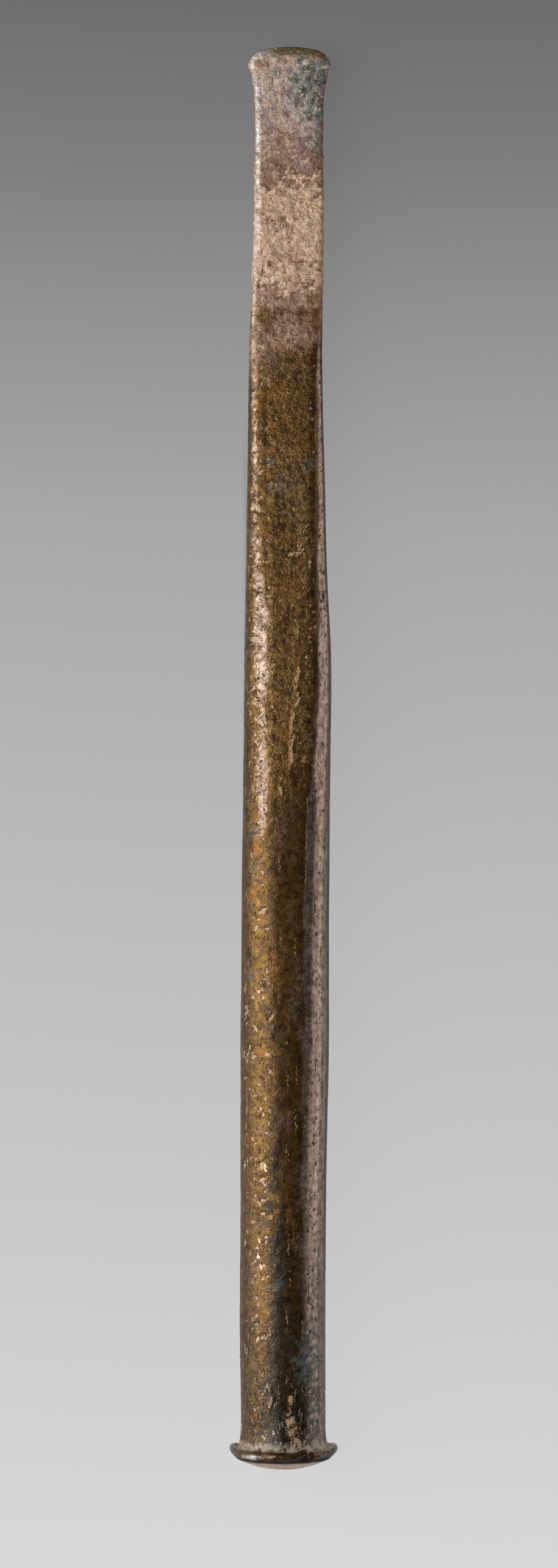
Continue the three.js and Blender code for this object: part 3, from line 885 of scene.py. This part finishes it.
colour = add(
    patina,
    "ShaderNodeMix",
    {0: tone_mix["mottle"], 6: srgb(BRONZE_TONES[0]), 7: srgb(BRONZE_TONES[1])},
    data_type="RGBA",
).outputs[2]
roughness = BRONZE_ROUGHNESS
metal_share = BRONZE_METAL
for mask, speckle, tones, mixer, coat_roughness, coat_metal in COATS:
    share = masks[mask] if mask else 1.0
    if mask in CRISP:
        crumbled = add(
            patina, "ShaderNodeMath", {0: speckles["dust"], 1: CRUMBLE, 2: share}, operation="MULTIPLY_ADD"
        ).outputs[0]
        share = add(
            patina,
            "ShaderNodeMapRange",
            {"Value": crumbled, "From Min": CRUMBLED_BETWEEN[0], "From Max": CRUMBLED_BETWEEN[1]},
            interpolation_type="SMOOTHSTEP",
        ).outputs["Result"]
    if speckle:
        source, start, end, most = speckle
        patches = add(
            patina,
            "ShaderNodeMapRange",
            {"Value": speckles[source], "From Min": start, "From Max": end, "To Max": most},
            interpolation_type="SMOOTHSTEP",
        ).outputs["Result"]
        share = add(patina, "ShaderNodeMath", {0: patches, 1: share}, operation="MULTIPLY").outputs[0]
    paint = add(
        patina,
        "ShaderNodeMix",
        {0: tone_mix[mixer], 6: srgb(tones[0]), 7: srgb(tones[1])},
        data_type="RGBA",
    ).outputs[2]
    colour = add(patina, "ShaderNodeMix", {0: share, 6: colour, 7: paint}, data_type="RGBA").outputs[2]
    roughness = add(patina, "ShaderNodeMix", {0: share, 2: roughness, 3: coat_roughness}).outputs[0]
    metal_share = add(patina, "ShaderNodeMix", {0: share, 2: metal_share, 3: coat_metal}).outputs[0]

# Relief under the wax: low lumps and fine grit on the bar, less of it on the planished and dark sides,
# and coarse crumbs on the blade.
BUMP = 0.24 * MM  # how high a relief of 1 stands
LUMP_SHARE = 1.1  # of the lumps, where the grit has 1
RELIEF = 0.5
SMOOTHED = -0.75  # what the planished and dark sides take from it
CRUMBS_ON = [("blade", 1.8), ("crust", 2.2)]

smooth = add(
    patina, "ShaderNodeMath", {0: masks["planished"], 1: masks["dark"]}, operation="MAXIMUM"
).outputs[0]
grit_share = add(
    patina, "ShaderNodeMath", {0: smooth, 1: SMOOTHED, 2: 1.0}, operation="MULTIPLY_ADD"
).outputs[0]
height = add(
    patina,
    "ShaderNodeMath",
    {0: speckles["mottle"], 1: LUMP_SHARE, 2: speckles["dust"]},
    operation="MULTIPLY_ADD",
).outputs[0]
height = add(patina, "ShaderNodeMath", {0: height, 1: RELIEF}, operation="MULTIPLY").outputs[0]
height = add(patina, "ShaderNodeMath", {0: height, 1: grit_share}, operation="MULTIPLY").outputs[0]
crumbs = masks["gritty"]
for name, most in CRUMBS_ON:
    crumbs = add(
        patina, "ShaderNodeMath", {0: masks[name], 1: most, 2: crumbs}, operation="MULTIPLY_ADD"
    ).outputs[0]
height = add(
    patina, "ShaderNodeMath", {0: crumbs, 1: speckles["crumb"], 2: height}, operation="MULTIPLY_ADD"
).outputs[0]

# Crisp marks too small for the mesh: grains of nicked metal, scratches, crumbs and black pits, drawn a
# little coarser than the real ones so that they show. Each is an oval round the point of a Voronoi cell.
MARKS = [  # mask, width, length, slant, share of cells, two tones, roughness, metal, how far it stands out
    ("nicked", 1.0, 2.6, 56, 0.45, ("#a07c58", "#d6b898"), 0.25, 0.6, 1.1),
    ("nicked", 0.9, 2.2, -48, 0.4, ("#8a6438", "#c9a67c"), 0.25, 0.6, 0.9),
    ("gritty", 0.7, 1.0, 60, 0.25, ("#8f6f48", "#b5946a"), 0.4, 0.4, 0.6),
    ("gritty", 0.7, 1.4, -30, 0.2, ("#24170a", "#35240f"), 0.5, 0.2, -0.9),
    ("gritty", 1.6, 2.4, 30, 0.35, ("#6b4c22", "#8a662f"), 0.3, 0.5, 0.9),
    ("scored", 0.5, 0.8, -25, 0.25, ("#2a1c0d", "#4a3417"), 0.4, 0.4, -0.5),
    ("scored", 0.35, 7.0, 24, 0.08, ("#8a6c48", "#b09066"), 0.3, 0.5, -0.5),
    # pale brushed streaks painted as glints, then dark striae
    ("brushed_with_glints", 0.5, 2.4, 62, 0.7, ("#6f6250", "#b5a896"), 0.18, 0.7, 0.9),
    ("brushed_with_glints", 0.45, 2.2, -55, 0.5, ("#17130c", "#2c2417"), 0.2, 0.4, -0.7),
    ("planished", 0.8, 1.2, 10, 0.12, ("#1a120b", "#33241a"), 0.4, 0.1, -0.6),
    ("blade", 0.8, 1.6, 70, 0.35, ("#b8967a", "#e8d0b6"), 0.9, 0.0, 0.8),
    ("tip", 0.7, 1.1, 60, 0.3, ("#c9a88c", "#ecd6be"), 0.9, 0.0, 0.8),
    ("specked", 0.7, 0.9, 20, 0.55, ("#bba98e", "#ede0c8"), 0.9, 0.0, 1.0),
]
MARK_RADII = (0.36, 0.252)  # of a cell: where a mark ends, and up to where it is full
FRAYED_GRAIN = 0.6 * MM
FRAYED = 1.1 * MM  # how far the borders of the marks wander

frayed = add(
    patina,
    "ShaderNodeTexNoise",
    {"Vector": spot, "Scale": 1 / FRAYED_GRAIN, "Detail": 2.0, "Roughness": 0.6},
).outputs["Color"]
frayed = add(
    patina, "ShaderNodeVectorMath", {0: frayed, 1: (-0.5, -0.5, -0.5)}, operation="ADD"
).outputs["Vector"]
marks_at = add(
    patina,
    "ShaderNodeVectorMath",
    {0: frayed, 1: (FRAYED, FRAYED, FRAYED), 2: spot},
    operation="MULTIPLY_ADD",
).outputs["Vector"]
for mask, width, length, slant, chosen, tones, mark_roughness, mark_metal, stand in MARKS:
    cells = add(
        patina,
        "ShaderNodeMapping",
        {
            "Vector": marks_at,
            "Rotation": (0, 0, math.radians(slant)),
            "Scale": (1 / (width * MM), 1 / (length * MM), 1 / (width * MM)),
        },
    )
    cell = add(patina, "ShaderNodeTexVoronoi", {"Vector": cells.outputs["Vector"], "Scale": 1.0})
    inside = add(
        patina,
        "ShaderNodeMapRange",
        {"Value": cell.outputs["Distance"], "From Min": MARK_RADII[0], "From Max": MARK_RADII[1]},
        interpolation_type="SMOOTHSTEP",
    ).outputs["Result"]
    pick = add(patina, "ShaderNodeSeparateColor", {"Color": cell.outputs["Color"]}).outputs
    lucky = add(patina, "ShaderNodeMath", {0: pick["Red"], 1: chosen}, operation="LESS_THAN").outputs[0]
    share = add(patina, "ShaderNodeMath", {0: inside, 1: lucky}, operation="MULTIPLY").outputs[0]
    share = add(patina, "ShaderNodeMath", {0: share, 1: masks[mask]}, operation="MULTIPLY").outputs[0]
    paint = add(
        patina,
        "ShaderNodeMix",
        {0: pick["Green"], 6: srgb(tones[0]), 7: srgb(tones[1])},
        data_type="RGBA",
    ).outputs[2]
    colour = add(patina, "ShaderNodeMix", {0: share, 6: colour, 7: paint}, data_type="RGBA").outputs[2]
    roughness = add(patina, "ShaderNodeMix", {0: share, 2: roughness, 3: mark_roughness}).outputs[0]
    metal_share = add(patina, "ShaderNodeMix", {0: share, 2: metal_share, 3: mark_metal}).outputs[0]
    height = add(
        patina, "ShaderNodeMath", {0: share, 1: stand, 2: height}, operation="MULTIPLY_ADD"
    ).outputs[0]

relief = add(patina, "ShaderNodeBump", {"Strength": 1.0, "Distance": BUMP, "Height": height})
finish = add(
    patina,
    "ShaderNodeBsdfPrincipled",
    {
        "Base Color": colour,
        "Metallic": metal_share,
        "Roughness": roughness,
        "Normal": relief.outputs["Normal"],
    },
)
add(patina, "ShaderNodeOutputMaterial", {"Surface": finish.outputs["BSDF"]})
bronze.data.materials.clear()
bronze.data.materials.append(patina)

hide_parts("chisel")
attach(bronze, "root")
